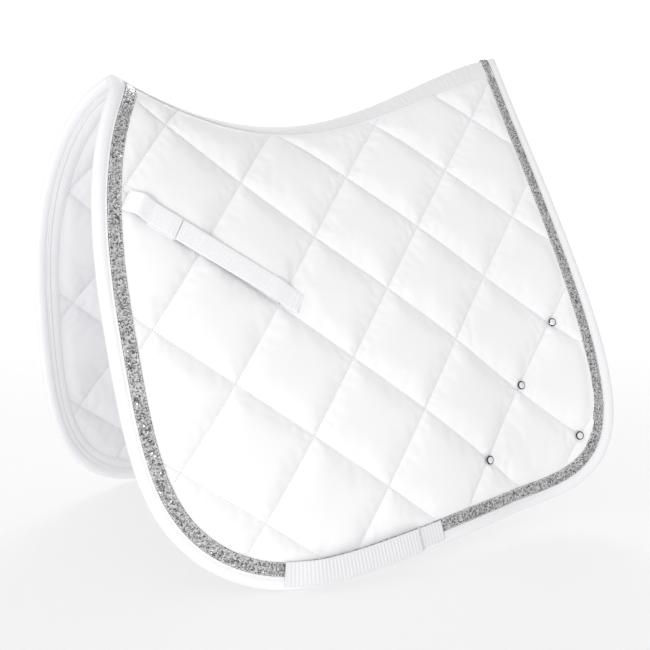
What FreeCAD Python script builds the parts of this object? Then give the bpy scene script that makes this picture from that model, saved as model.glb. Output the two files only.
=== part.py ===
"""Quilted dressage saddle pad with glitter band, girth loops, billet straps and crystals.

Frame, in millimetres: +X runs from the withers to the loins, +Z is up, and -Y is the near side.
The origin lies on the spine line at its lowest point, where the horse's back carries the pad.
"""
import FreeCAD, Part
import math
import os

Vector = FreeCAD.Vector

# ---------------------------------------------------------------- driving dimensions (mm)
HALF_LENGTH = 330.0          # unit length along the spine that the shape formulas use
SPINE_RISE = (157.0, -14.5, -44.0)      # spine height: square, cube and fourth power terms
RIDGE_BULGE = (29.5, -20.0, -4.0)       # how far the back rounds out beside the spine
RIDGE_DEPTH = 11.0                      # depth over which that rounding happens
FLAP_SPREAD = (0.607, 0.118, -0.19)     # sideways travel of the flap for each mm of drop
REAR_FLARE = 0.127                      # extra spread of the rear edge
FLARE_START = 200.0
FLARE_LENGTH = 150.0
HANG_IN = 0.198                         # the flap turns down again towards its bottom edge

# Control points of the flap's edge seen from the side (x, z), withers to loins by the bottom.
EDGE_CONTROL = (
    (-192.0, 51.0), (-259.0, -30.5), (-248.0, -268.0), (-221.5, -416.5),
    (-122.5, -487.5), (15.5, -473.0), (172.0, -453.5), (303.0, -454.5),
    (379.0, -393.0), (386.0, -236.5), (357.5, 36.0), (370.5, 107.0),
)

FABRIC = 1.0                 # shell and lining
LAYER_GAP = 0.1
FOAM = 7.0
PAD_THICKNESS = 2 * FABRIC + FOAM + 2 * LAYER_GAP
BINDING_WIDTH = 14.5
BINDING_CLOTH = 0.8
GLITTER_WIDTH = 14.0
GLITTER_CLOTH = 0.5
SPINE_TAPE_HALF = 20.0       # half widths of the two spine tapes, measured across the pad
INNER_TAPE_HALF = 18.0

FLAP_AXIS_Y = 70.0           # crease line between saddle area and flap: distance from the middle
FLAP_AXIS_Z = -45.0
CREASE_RADIUS = 28.0
CREASE_GAP = 0.6
CREASE_TILT = 30.0           # the sheet leans this far from upright at the crease, degrees

WEBBING_WIDTH = 25.0
WEBBING_THICKNESS = 1.6
SEWN_LIFT = 1.3              # underside of webbing over the shell where it is sewn down
GIRTH_LOOP_START_X = -98.0
GIRTH_LOOP_END_X = 97.0
GIRTH_LOOP_INSET = 17.0      # middle of the webbing from the pad's edge
GIRTH_LOOP_LIFT = 10.0
GIRTH_TUCK_X = 66.0          # the loop is tucked down here; the rest is sewn flat

STRAP_START = (-213.0, -84.0)            # billet strap's middle line in (x, z)
STRAP_END = (-32.0, -198.0)
STRAP_LIFT = 10.0
TAB_LENGTH = 60.0
TAB_HUMP = 9.5
STRAP_TIP = 30.0             # the strap's free end lies under the tab from here
PATCH_THICKNESS = 0.8
PATCH_WIDTH = 21.0
PATCH_GAP = 0.4
LOOP_PATCH_LIFT = SEWN_LIFT + WEBBING_THICKNESS + LAYER_GAP
HOOK_PATCH_LIFT = LOOP_PATCH_LIFT + PATCH_THICKNESS + PATCH_GAP
TAB_LIFT = HOOK_PATCH_LIFT + PATCH_THICKNESS + LAYER_GAP
BAND_STEP = 3.0              # spacing of the webbing's cross-sections

CRYSTALS = ((317.0, -240.0), (253.0, -311.0), (182.0, -387.0), (325.0, -377.0))
CRYSTAL_RADIUS = 4.3
SETTING_RADIUS = 5.2
POST_RADIUS = 1.4
WASHER_RADIUS = 4.5

X_LOW, X_HIGH, X_STATIONS = -300.0, 430.0, 26
FIRST_STEP, STEP_GROWTH, DROP_STATIONS = 9.0, 1.05, 32
EDGE_PIECES, POINTS_PER_PIECE = 12, 6
FAR = 700.0


# ---------------------------------------------------------------- the pad's outer surface
def spine_z(x):
    u = x / HALF_LENGTH
    return SPINE_RISE[0] * u ** 2 + SPINE_RISE[1] * u ** 3 + SPINE_RISE[2] * u ** 4


def half_width(x, drop):
    """Distance of the outer surface from the middle plane, at a drop below the spine."""
    u = x / HALF_LENGTH
    bulge = RIDGE_BULGE[0] + RIDGE_BULGE[1] * u + RIDGE_BULGE[2] * u ** 2
    spread = FLAP_SPREAD[0] + FLAP_SPREAD[1] * u + FLAP_SPREAD[2] * u ** 2
    spread += REAR_FLARE * (max(0.0, x - FLARE_START) / FLARE_LENGTH) ** 2
    rounded = bulge * (1.0 - math.exp(-drop / RIDGE_DEPTH))
    return rounded + spread * drop - HANG_IN * drop * drop / 500.0


def surface_point(x, z):
    """Point of the near side's outer surface at a side-view position (x, z)."""
    return Vector(x, -half_width(x, spine_z(x) - z), z)


def outward(x, z):
    """Unit normal that leaves the near side's outer surface."""
    along = surface_point(x + 0.5, z) - surface_point(x - 0.5, z)
    up = surface_point(x, z + 0.5) - surface_point(x, z - 0.5)
    return along.cross(up).normalize()


def offset_surface(depth):
    """Smooth surface at a depth inside the outer surface; a negative depth lies outside it."""
    rows = []
    for i in range(X_STATIONS):
        x = X_LOW + (X_HIGH - X_LOW) * i / (X_STATIONS - 1)
        drop = -3.0
        row = []
        for k in range(DROP_STATIONS):
            z = spine_z(x) - drop
            row.append(surface_point(x, z) - outward(x, z) * depth)
            slope = (half_width(x, drop + 0.1) - half_width(x, drop - 0.1)) / 0.2
            drop += FIRST_STEP * STEP_GROWTH ** k / math.hypot(1.0, slope)
        rows.append(row)
    surface = Part.BSplineSurface()
    surface.interpolate(rows)
    return surface.toShape()


def inside_of(depth):
    """Everything on the horse's side of the surface at this depth, up to the middle plane."""
    return offset_surface(depth).extrude(Vector(0, FAR, 0))


def slab(depth_out, depth_in):
    """Near half of a layer between two depths, still wider than the pad."""
    near_half = Part.makeBox(2 * FAR, FAR, 2 * FAR, Vector(-FAR, -FAR, -FAR))
    return inside_of(depth_out).common(near_half).cut(inside_of(depth_in))


# ---------------------------------------------------------------- the pad's edge
def edge_curve():
    poles = [Vector(x, 0, z) for x, z in EDGE_CONTROL]
    spans = len(poles) - 3
    knots = [i / spans for i in range(spans + 1)]
    mults = [4] + [1] * (spans - 1) + [4]
    curve = Part.BSplineCurve()
    curve.buildFromPolesMultsKnots(poles, mults, knots, False, 3)
    return curve


EDGE = edge_curve()


def edge_frame(v):
    """Point on the edge with its normal and the direction that leads into the pad."""
    here = EDGE.value(v)
    before = EDGE.value(max(0.0, v - 0.001))
    after = EDGE.value(min(1.0, v + 0.001))
    along = (surface_point(after.x, after.z) - surface_point(before.x, before.z)).normalize()
    normal = outward(here.x, here.z)
    inward = along.cross(normal).normalize()
    if inward.dot(Vector(60, here.y, -150) - Vector(here.x, here.y, here.z)) < 0:
        inward = inward * -1
    return surface_point(here.x, here.z), normal, inward


def outline_prism(inset):
    """Prism along Y whose side is the pad's edge moved in by a distance along the fabric."""
    points = []
    for i in range(EDGE_PIECES * POINTS_PER_PIECE + 1):
        point, normal, inward = edge_frame(i / (EDGE_PIECES * POINTS_PER_PIECE))
        place = point + inward * inset
        points.append(Vector(place.x, 0, place.z))
    curve = Part.BSplineCurve()
    curve.interpolate(points)
    joints = [curve.parameter(point) for point in points[::POINTS_PER_PIECE]]
    pieces = [curve.toShape(start, end) for start, end in zip(joints, joints[1:])]
    first, last = points[0], points[-1]
    lid = [last, Vector(last.x, 0, 300), Vector(first.x, 0, 300), first]
    wire = Part.Wire(pieces + Part.makePolygon(lid).Edges)
    return Part.Face(wire).extrude(Vector(0, -FAR, 0))


# ---------------------------------------------------------------- the crease under the saddle
def crease_tools():
    """Regions that hold the saddle area and the flap of the near side."""
    centre = Vector(-FAR, -FLAP_AXIS_Y, FLAP_AXIS_Z)
    lower = Part.makeBox(2 * FAR, 2 * FAR, FAR, Vector(-FAR, -FAR, -FAR))
    upper = Part.makeBox(2 * FAR, 2 * FAR, FAR, Vector(-FAR, -FAR, 0))
    for half in (lower, upper):
        half.rotate(Vector(0, 0, 0), Vector(1, 0, 0), -CREASE_TILT)
        half.translate(Vector(0, -FLAP_AXIS_Y, FLAP_AXIS_Z))
    inner = Part.makeCylinder(CREASE_RADIUS, 2 * FAR, centre, Vector(1, 0, 0))
    outer = Part.makeCylinder(CREASE_RADIUS + CREASE_GAP, 2 * FAR, centre, Vector(1, 0, 0))
    return upper.fuse(inner), lower.cut(outer)


def far_side(shape):
    return shape.mirror(Vector(0, 0, 0), Vector(0, 1, 0))


def biggest(shape):
    """The shape's largest solid, without crumbs left by a cut."""
    return max(shape.Solids, key=lambda solid: solid.Volume)


def save(name, *solids):
    shape = solids[0] if len(solids) == 1 else Part.makeCompound(list(solids))
    shape.exportStep("parts/" + name + ".step")


def save_pair(name, *solids):
    """Saves a near-side piece and its mirrored twin on the far side."""
    save("near_" + name, *solids)
    save("far_" + name, *[far_side(solid) for solid in solids])


# ---------------------------------------------------------------- webbing, tapes and patches
def ribbon(frames, width, lift, thickness):
    """Flat band through frames of (point, normal, sideways), each lifted off the pad."""
    sections = []
    for (point, normal, sideways), height in zip(frames, lift):
        low = point + normal * height
        high = low + normal * thickness
        side = sideways * (width / 2)
        corners = [low - side, low + side, high + side, high - side, low - side]
        sections.append(Part.makePolygon(corners))
    return Part.makeLoft(sections, True, False)


def eased(value, start, end):
    """0 before start, 1 after end, and smooth between them."""
    t = min(1.0, max(0.0, (value - start) / (end - start)))
    return t * t * (3 - 2 * t)


def edge_parameter(x):
    """Where the bottom edge passes a given x."""
    low, high = 0.3, 0.85
    while high - low > 1e-9:
        middle = (low + high) / 2
        if EDGE.value(middle).x < x:
            low = middle
        else:
            high = middle
    return low


def girth_loop():
    """Webbing along the bottom edge, sewn down at both ends and open between them."""
    frames, lift = [], []
    sections = 26
    for i in range(sections):
        x = GIRTH_LOOP_START_X + (GIRTH_LOOP_END_X - GIRTH_LOOP_START_X) * i / (sections - 1)
        point, normal, inward = edge_frame(edge_parameter(x))
        place = point + inward * GIRTH_LOOP_INSET
        frames.append((surface_point(place.x, place.z), normal, inward))
        raised = eased(x, GIRTH_LOOP_START_X + 8, GIRTH_LOOP_START_X + 38)
        raised *= 1 - eased(x, GIRTH_TUCK_X - 24, GIRTH_TUCK_X)
        lift.append(SEWN_LIFT + (GIRTH_LOOP_LIFT - SEWN_LIFT) * raised)
    return ribbon(frames, WEBBING_WIDTH, lift, WEBBING_THICKNESS)


def strap_frame(distance):
    """Frame on the billet strap's middle line, at a distance from the glitter band."""
    length = math.hypot(STRAP_END[0] - STRAP_START[0], STRAP_END[1] - STRAP_START[1])
    run = ((STRAP_END[0] - STRAP_START[0]) / length, (STRAP_END[1] - STRAP_START[1]) / length)
    x, z = STRAP_START[0] + run[0] * distance, STRAP_START[1] + run[1] * distance
    ahead = surface_point(x + run[0], z + run[1]) - surface_point(x - run[0], z - run[1])
    normal = outward(x, z)
    return surface_point(x, z), normal, normal.cross(ahead.normalize()).normalize()


def strap_band(start, end, lift_at, width, thickness):
    """Band along the billet strap's line, from start to end; lift_at gives its lift at a place."""
    sections = int((end - start) / BAND_STEP)
    places = [start + (end - start) * i / (sections - 1) for i in range(sections)]
    frames = [strap_frame(place) for place in places]
    return ribbon(frames, width, [lift_at(place) for place in places], thickness)


def strap_length():
    return math.hypot(STRAP_END[0] - STRAP_START[0], STRAP_END[1] - STRAP_START[1])


def strap_lift(place):
    """The strap stands off the pad between the tab and its sewn rear end."""
    end = strap_length()
    raised = eased(place, TAB_LENGTH + 4, TAB_LENGTH + 34) * (1 - eased(place, end - 36, end - 8))
    return SEWN_LIFT + (STRAP_LIFT - SEWN_LIFT) * raised


def tab_lift(place):
    """The tab curls up from its seam, then lies over the strap's free end."""
    climb = SEWN_LIFT + (TAB_LIFT - SEWN_LIFT) * eased(place, 4, 18)
    hump = (TAB_HUMP - TAB_LIFT) * math.sin(math.pi * min(1.0, place / STRAP_TIP)) ** 2
    return climb + hump


def patch(start, end, lift):
    """Hook or loop tape at one lift along the billet strap's line."""
    return strap_band(start, end, lambda place: lift, PATCH_WIDTH, PATCH_THICKNESS)


# ---------------------------------------------------------------- crystals
def disc(point, normal, radius, low, high):
    """Round disc between two heights over a point of the pad."""
    return Part.makeCylinder(radius, high - low, point + normal * low, normal)


def crystal_pieces():
    """Crystals, their metal settings, and the posts with washers that hold them."""
    crystals, settings, backs, holes = [], [], [], []
    back = -(PAD_THICKNESS + LAYER_GAP)
    for x, z in CRYSTALS:
        point, normal = surface_point(x, z), outward(x, z)
        girdle = disc(point, normal, CRYSTAL_RADIUS, 0.6, 1.4)
        crown = Part.makeCone(CRYSTAL_RADIUS, 2.4, 1.6, point + normal * 1.4, normal)
        crystals.append(girdle.fuse(crown).removeSplitter())
        seat = disc(point, normal, CRYSTAL_RADIUS + 0.05, 0.5, 2.0)
        settings.append(disc(point, normal, SETTING_RADIUS, 0.1, 1.7).cut(seat))
        post = disc(point, normal, POST_RADIUS, back, 0.05)
        washer = disc(point, normal, WASHER_RADIUS, back - 0.8, back)
        backs.append(post.fuse(washer).removeSplitter())
        holes.append(disc(point, normal, POST_RADIUS + 0.1, -PAD_THICKNESS - 3, 2.0))
    return crystals, settings, backs, holes


# ---------------------------------------------------------------- build
def main():
    os.makedirs("parts", exist_ok=True)
    top_region, flap_region = crease_tools()
    rim = outline_prism(0.0)
    filled = outline_prism(BINDING_CLOTH + LAYER_GAP)
    inside_binding = outline_prism(BINDING_WIDTH)
    glitter_start = outline_prism(BINDING_WIDTH + 0.2)
    glitter_end = outline_prism(BINDING_WIDTH + GLITTER_WIDTH)
    past_glitter = outline_prism(BINDING_WIDTH + GLITTER_WIDTH + 0.3)
    past_binding = outline_prism(BINDING_WIDTH + 0.3)
    crystals, settings, backs, holes = crystal_pieces()
    clear_of_middle = Part.makeBox(2 * FAR, FAR, 2 * FAR, Vector(-FAR, -FAR - 0.1, -FAR))

    foam_out = FABRIC + LAYER_GAP
    foam_in = foam_out + FOAM
    layers = {
        "shell": (0.0, FABRIC),
        "foam": (foam_out, foam_in),
        "lining": (foam_in + LAYER_GAP, PAD_THICKNESS),
    }
    for name, (depth_out, depth_in) in layers.items():
        layer = slab(depth_out, depth_in).common(filled)
        save_pair(name + "_top", biggest(layer.common(top_region).common(clear_of_middle)))
        save_pair(name + "_flap", biggest(layer.common(flap_region).cut(Part.makeCompound(holes))))

    skin = LAYER_GAP + BINDING_CLOTH
    wrap = slab(-skin, PAD_THICKNESS + skin).common(rim).cut(inside_binding)
    core = slab(-LAYER_GAP, PAD_THICKNESS + LAYER_GAP).common(outline_prism(BINDING_CLOTH))
    binding = wrap.cut(core)
    save_pair("binding_flap", biggest(binding.common(flap_region)))
    strip = slab(-LAYER_GAP - GLITTER_CLOTH, -LAYER_GAP).common(glitter_start).cut(glitter_end)
    save_pair("glitter_flap", biggest(strip.common(flap_region)))
    for label, low_x, high_x in (("front", -FAR, 60.0), ("rear", 60.0, FAR)):
        end = Part.makeBox(high_x - low_x, FAR, 2 * FAR, Vector(low_x, -FAR, -FAR))
        for name, sheet in (("binding", binding), ("glitter", strip)):
            half = biggest(sheet.common(top_region).common(end))
            whole = half.fuse(far_side(half)).removeSplitter()
            save(name + "_" + label + "_top", biggest(whole))

    tapes = (
        ("spine_tape_outer", -skin, -LAYER_GAP, SPINE_TAPE_HALF, past_glitter),
        ("spine_tape_inner", PAD_THICKNESS + LAYER_GAP, PAD_THICKNESS + skin, INNER_TAPE_HALF,
         past_binding),
    )
    for name, depth_out, depth_in, half_tape, extent in tapes:
        band = Part.makeBox(2 * FAR, half_tape, 2 * FAR, Vector(-FAR, -half_tape, -FAR))
        half = biggest(slab(depth_out, depth_in).common(extent).common(band))
        save(name, biggest(half.fuse(far_side(half)).removeSplitter()))

    end = strap_length()
    save_pair("girth_loop", girth_loop())
    save_pair("billet_strap_webbing",
              strap_band(STRAP_TIP, end, strap_lift, WEBBING_WIDTH, WEBBING_THICKNESS))
    save_pair("loop_patch", patch(STRAP_TIP + 4, TAB_LENGTH, LOOP_PATCH_LIFT))
    save_pair("hook_patch", patch(STRAP_TIP + 6, TAB_LENGTH - 2, HOOK_PATCH_LIFT))
    save_pair("strap_tab_webbing",
              strap_band(0.0, TAB_LENGTH, tab_lift, WEBBING_WIDTH, WEBBING_THICKNESS))
    save_pair("crystals", *crystals)
    save_pair("crystal_settings", *settings)
    save_pair("crystal_backs", *backs)


main()
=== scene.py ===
"""Looks of the quilted dressage saddle pad.

Lengths are in millimetres, in the CAD model's frame, until a mesh is made. The near side (-Y) is
built once, and the far side is its mirror image.
"""
import math

import bmesh
import bpy
import numpy as np
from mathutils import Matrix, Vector, noise


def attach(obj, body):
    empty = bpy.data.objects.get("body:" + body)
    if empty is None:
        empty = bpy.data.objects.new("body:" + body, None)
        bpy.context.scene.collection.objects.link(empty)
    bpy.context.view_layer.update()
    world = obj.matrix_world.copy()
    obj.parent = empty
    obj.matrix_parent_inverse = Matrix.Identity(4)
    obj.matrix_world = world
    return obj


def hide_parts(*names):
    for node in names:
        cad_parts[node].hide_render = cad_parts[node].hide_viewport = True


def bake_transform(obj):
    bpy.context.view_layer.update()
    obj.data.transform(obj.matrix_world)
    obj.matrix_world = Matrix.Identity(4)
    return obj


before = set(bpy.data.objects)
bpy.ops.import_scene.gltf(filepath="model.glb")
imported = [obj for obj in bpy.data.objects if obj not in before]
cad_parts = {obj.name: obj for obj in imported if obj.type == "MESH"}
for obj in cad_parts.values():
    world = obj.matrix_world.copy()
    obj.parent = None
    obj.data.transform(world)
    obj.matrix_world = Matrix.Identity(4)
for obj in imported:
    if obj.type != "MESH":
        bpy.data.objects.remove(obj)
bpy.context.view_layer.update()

MM = 0.001

# ---- the pad's shape, as in the CAD model
HALF_LENGTH = 330.0
SPINE_RISE = (157.0, -14.5, -44.0)
RIDGE_BULGE = (29.5, -20.0, -4.0)
RIDGE_DEPTH = 11.0
FLAP_SPREAD = (0.607, 0.118, -0.19)
REAR_FLARE = 0.127
FLARE_START = 200.0
FLARE_LENGTH = 150.0
HANG_IN = 0.198
HANG_SCALE = 500.0
EDGE_CONTROL = (
    (-192.0, 51.0), (-259.0, -30.5), (-248.0, -268.0), (-221.5, -416.5),
    (-122.5, -487.5), (15.5, -473.0), (172.0, -453.5), (303.0, -454.5),
    (379.0, -393.0), (386.0, -236.5), (357.5, 36.0), (370.5, 107.0),
)
PAD_THICKNESS = 9.2
BINDING_WIDTH = 14.5
GLITTER_WIDTH = 14.0
BAND_END = BINDING_WIDTH + GLITTER_WIDTH
SPINE_TAPE_HALF = 20.0
INNER_TAPE_HALF = 18.0

WEBBING_WIDTH = 25.0
WEBBING_THICKNESS = 1.6
SEWN_LIFT = 1.3
GIRTH_LOOP_X = (-98.0, 97.0)
GIRTH_LOOP_INSET = 17.0
GIRTH_TUCK_X = 66.0
STRAP_START = (-213.0, -84.0)
STRAP_END = (-32.0, -198.0)
STRAP_LENGTH = math.hypot(STRAP_END[0] - STRAP_START[0], STRAP_END[1] - STRAP_START[1])
TAB_LENGTH = 60.0
STRAP_TIP = 30.0
PATCH_THICKNESS = 0.8
PATCH_WIDTH = 21.0
CRYSTALS = ((317.0, -240.0), (253.0, -311.0), (182.0, -387.0), (325.0, -377.0))
CRYSTAL_RADIUS = 4.3
SETTING_RADIUS = 5.2

# ---- quilting and other looks
CELL = 102.7  # side of one quilted square
SEAM_CROSSING = (287.8, 4.8)  # one crossing, in the flattened pad
DOWN_ANGLE = math.radians(39.4)  # seams that run down towards the rear
BACK_ANGLE = math.radians(49.9)  # seams that run down towards the front
FIRST_SEAMS = (-3, -6)
LAST_SEAMS = (9, 6)
ALONG_DOWN = (math.cos(DOWN_ANGLE) * CELL, -math.sin(DOWN_ANGLE) * CELL)
ALONG_BACK = (-math.cos(BACK_ANGLE) * CELL, -math.sin(BACK_ANGLE) * CELL)
LINES_PER_CELL = 24  # mesh lines across one square
CROWDING = 0.35  # how much closer the mesh lines stand beside a seam
PAD_MIDDLE_X = 60.0
REACH_ALONG = 380.0  # the quilting is laid out this far from the pad's middle
REACH_DOWN = 630.0  # and this far down the cloth from the spine
WALK_LEVELS = np.linspace(0.0, 660.0, 221)
PAST_MIDDLE = 12.0  # the cloth is laid past the middle plane and trimmed there
CLOTH_INSET = 3.5  # it ends this far inside the edge
SEAM_START = 26.0  # quilting stitches begin this far down from the spine

SEAM_DEPTH = 3.0
LINING_DEPTH = 2.2
PUFF = 3.0  # top of a cell over the CAD surface, before inflation
LINING_PUFF = 1.8
STRAP_PRESS = 1.2  # a cell puffs this much less under the billet strap
SHOULDER = 20.0  # distance over which a cell rounds down to its seam
CROWN = 0.22  # share of a cell's height that peaks in its middle
BAND_FLAT = -0.5  # the cloth lies this deep under the sewn bands
FOAM_GAP = 0.9  # the filling lies this far inside the cloths
PRESSED_BY_BAND = (BAND_END - 3.0, BAND_END + 15.0)
PRESSED_BY_TAPE = (24.0, 38.0)
SWELLS = ((0.7, 40.0, 4), (0.22, 15.0, 6))  # height, size and seed
LINING_SWELLS = ((0.5, 40.0, 14),)
PUCKER_PITCH = 11.5
PUCKER_REACH = 4.5  # wrinkles are highest at this distance from the seam
PUCKER_HEIGHT = 0.45
LINING_PUCKER_HEIGHT = 0.4
PUCKER_DRIFT = (1.3, 26.0)  # how many wrinkles they wander, and over what distance
CLOTH_SLACK = 0.010  # share by which the cloth grows when inflated
CLOTH_CAP = 3.0  # the most that a point of the cloth moves when inflated
CLOTH_FRAMES = 20
PINNED_BELOW = 0.35  # cloth with less looseness is held when inflated
SHELL_PRESSURE = 2.0
LINING_PRESSURE = 1.5

QUILT_STITCH = (2.5, 1.0, 0.34)  # length, gap and thread radius
EDGE_STITCH = (2.3, 0.9, 0.27)
WEBBING_STITCH = (2.3, 0.9, 0.3)
OUTER_TAPE_ENDS = (-186.0, 352.0)
INNER_TAPE_ENDS = (-176.0, 350.0)
PLEAT_PITCH = 10.0
LOOP_LIFT = 5.5  # the girth loop's height over the pad
TAIL_WIDTH = 22.0  # the loop's tail, under its rear end
PATCH_LIFT = SEWN_LIFT + WEBBING_THICKNESS + 0.1
HOOK_LIFT = PATCH_LIFT + PATCH_THICKNESS + 0.4
TAB_REST = PATCH_LIFT + 2 * PATCH_THICKNESS + 0.5
TAB_HUMP = 8.5  # height of the tab's rolled start
THREAD_LIFT = WEBBING_THICKNESS + 0.15
GIRTH_RIB = (4.1, 0.28)  # pitch and depth of the ribs across the webbing
STRAP_RIB = (2.3, 0.28)
PATCH_RIB = (1.4, 0.12)


def spine_height(x):
    u = np.asarray(x, float) / HALF_LENGTH
    return SPINE_RISE[0] * u ** 2 + SPINE_RISE[1] * u ** 3 + SPINE_RISE[2] * u ** 4


def half_width(x, drop):
    """Distance of the outer surface from the middle plane, at a drop below the spine."""
    u = x / HALF_LENGTH
    bulge = RIDGE_BULGE[0] + RIDGE_BULGE[1] * u + RIDGE_BULGE[2] * u ** 2
    spread = FLAP_SPREAD[0] + FLAP_SPREAD[1] * u + FLAP_SPREAD[2] * u ** 2
    spread = spread + REAR_FLARE * (np.maximum(0.0, x - FLARE_START) / FLARE_LENGTH) ** 2
    rounded = bulge * (1.0 - np.exp(-drop / RIDGE_DEPTH))
    return rounded + spread * drop - HANG_IN * drop ** 2 / HANG_SCALE


def surface(x, drop):
    """Points of the near side's outer surface."""
    return np.stack([x, -half_width(x, drop), spine_height(x) - drop], axis=-1)


def unit(v):
    return v / np.linalg.norm(v, axis=-1, keepdims=True)


def walked_along(path):
    """Distance walked from a path's start to each of its points."""
    return np.concatenate([[0], np.cumsum(np.linalg.norm(np.diff(path, axis=0), axis=1))])


def outward(x, drop):
    """Unit normals that leave the near side's outer surface."""
    z = spine_height(x) - drop
    step = 0.5
    ahead = surface(x + step, spine_height(x + step) - z)
    behind = surface(x - step, spine_height(x - step) - z)
    up = surface(x, drop - step) - surface(x, drop + step)
    return unit(np.cross(ahead - behind, up))


def walk_down(x, walked):
    """Drop below the spine after walking down the cloth from the spine."""
    levels = WALK_LEVELS
    widths = half_width(x[:, None], levels[None, :])
    steps = np.hypot(np.diff(widths, axis=1), np.diff(levels)[None, :])
    total = np.concatenate([np.zeros((len(x), 1)), np.cumsum(steps, axis=1)], axis=1)
    rows = np.arange(len(x))
    k = np.clip((total < walked[:, None]).sum(axis=1) - 1, 0, len(levels) - 2)
    share = (walked - total[rows, k]) / (total[rows, k + 1] - total[rows, k])
    return levels[k] + share * (levels[k + 1] - levels[k])


def eased(value, start, end):
    """0 before start, 1 after end, and smooth between them."""
    t = np.clip((np.asarray(value, float) - start) / (end - start), 0.0, 1.0)
    return t * t * (3 - 2 * t)


def plateau(x, start, end, rise, fall):
    """1 from start to end; rise and fall say how far from each it eases in and out."""
    return eased(x, start + rise[0], start + rise[1]) * (1 - eased(x, end - fall[0], end - fall[1]))


# ---- the pad's edge
def edge_points(v):
    """Side-view points (x, z) of the edge; v runs from 0 at the withers to 1 at the loins."""
    poles = np.array(EDGE_CONTROL)
    spans = len(poles) - 3
    knots = np.concatenate([[0.0] * 3, np.linspace(0.0, 1.0, spans + 1), [1.0] * 3])
    span = np.clip((v * spans).astype(int), 0, spans - 1) + 3
    work = [poles[span - 3 + k] for k in range(4)]
    for level in range(1, 4):
        for k in range(3, level - 1, -1):
            low = knots[span - 3 + k]
            high = knots[span + k + 1 - level]
            share = ((v - low) / (high - low))[:, None]
            work[k] = (1 - share) * work[k - 1] + share * work[k]
    return work[3]


class Edge:
    """Evenly spaced frames along the edge, which run on past the spine at both ends."""

    def __init__(self, spacing=3.0, overrun=16.0):
        fine = edge_points(np.linspace(0, 1, 4001))
        path = surface(fine[:, 0], spine_height(fine[:, 0]) - fine[:, 1])
        walked = walked_along(path)
        count = int(walked[-1] / spacing) + 1
        at = np.linspace(0, walked[-1], count)
        x, z = (np.interp(at, walked, fine[:, k]) for k in range(2))
        drop = spine_height(x) - z
        point = surface(x, drop)
        normal = outward(x, drop)
        along = unit(np.gradient(point, axis=0))
        inward = unit(np.cross(along, normal))
        if inward[count // 2, 2] < 0:
            inward = -inward
        extra = int(overrun / spacing)
        before = np.arange(-extra, 0)[:, None] * spacing
        after = np.arange(1, extra + 1)[:, None] * spacing
        self.point = np.concatenate([point[0] + along[0] * before, point,
                                     point[-1] + along[-1] * after])
        self.normal = np.pad(normal, ((extra, extra), (0, 0)), mode="edge")
        self.inward = np.pad(inward, ((extra, extra), (0, 0)), mode="edge")
        self.true = slice(extra, extra + count)

    def distance(self, points):
        """How far points lie inside the edge; negative outside it."""
        result = np.empty(len(points))
        frames, leads = self.point[self.true], self.inward[self.true]
        chunk = 4000
        for start in range(0, len(points), chunk):
            part = points[start:start + chunk]
            gap = part[:, None, :] - frames[None, :, :]
            nearest = np.argmin((gap ** 2).sum(-1), axis=1)
            offset = gap[np.arange(len(part)), nearest]
            away = np.linalg.norm(offset, axis=1)
            outside = (offset * leads[nearest]).sum(-1) < 0
            result[start:start + chunk] = np.where(outside, -away, away)
        return result

    def line(self, inset, lift, facing=1):
        """A line round the pad at an inset and a height, and its normals."""
        frames = self.true
        path = self.point[frames] + self.inward[frames] * inset + self.normal[frames] * lift
        return path, facing * self.normal[frames]


EDGE = Edge()


# ---- mesh tools
def make_object(name, points, faces, material, smooth=True):
    mesh = bpy.data.meshes.new(name)
    mesh.from_pydata((np.asarray(points) * MM).tolist(), [], [tuple(map(int, f)) for f in faces])
    mesh.materials.append(material)
    mesh.polygons.foreach_set("use_smooth", [smooth] * len(mesh.polygons))
    mesh.update()
    piece = bpy.data.objects.new(name, mesh)
    bpy.context.scene.collection.objects.link(piece)
    return piece


def coordinates(mesh):
    flat = np.empty(len(mesh.vertices) * 3)
    mesh.vertices.foreach_get("co", flat)
    return flat.reshape(-1, 3)


def set_coordinates(mesh, points):
    mesh.vertices.foreach_set("co", np.ascontiguousarray(points).ravel())
    mesh.update()


def subdivide(piece):
    """Rounds the piece by one subdivision and keeps the result as its mesh."""
    modifier = piece.modifiers.new("round", 'SUBSURF')
    modifier.levels = 1
    modifier.render_levels = 1
    shown = piece.evaluated_get(bpy.context.evaluated_depsgraph_get())
    mesh = bpy.data.meshes.new_from_object(shown)
    piece.modifiers.clear()
    piece.data = mesh


def with_bmesh(piece, work_on):
    """Runs work_on on the piece's mesh."""
    work = bmesh.new()
    work.from_mesh(piece.data)
    work_on(work)
    work.to_mesh(piece.data)
    work.free()


def turn_outwards(piece):
    with_bmesh(piece, lambda work: bmesh.ops.recalc_face_normals(work, faces=work.faces[:]))


def trim_at_middle(piece, fill):
    """Cuts off what crossed the middle plane, and closes the cut of a solid piece."""
    def cut(work):
        everything = work.verts[:] + work.edges[:] + work.faces[:]
        found = bmesh.ops.bisect_plane(work, geom=everything, dist=1e-6, plane_co=(0, 0, 0),
                                       plane_no=(0, 1, 0), clear_outer=True)["geom_cut"]
        rim = [item for item in found if isinstance(item, bmesh.types.BMEdge) and item.is_boundary]
        if fill:
            bmesh.ops.holes_fill(work, edges=rim, sides=0)
    with_bmesh(piece, cut)


def sweep(rows):
    """Points and faces of a tube with closed ends; each row is one cross-section."""
    count, width = rows.shape[:2]
    faces = []
    for i in range(count - 1):
        for k in range(width):
            after = (k + 1) % width
            faces.append((i * width + k, i * width + after, (i + 1) * width + after,
                          (i + 1) * width + k))
    faces.append(tuple(range(width))[::-1])
    faces.append(tuple(range((count - 1) * width, count * width)))
    return rows.reshape(-1, 3), faces


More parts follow.
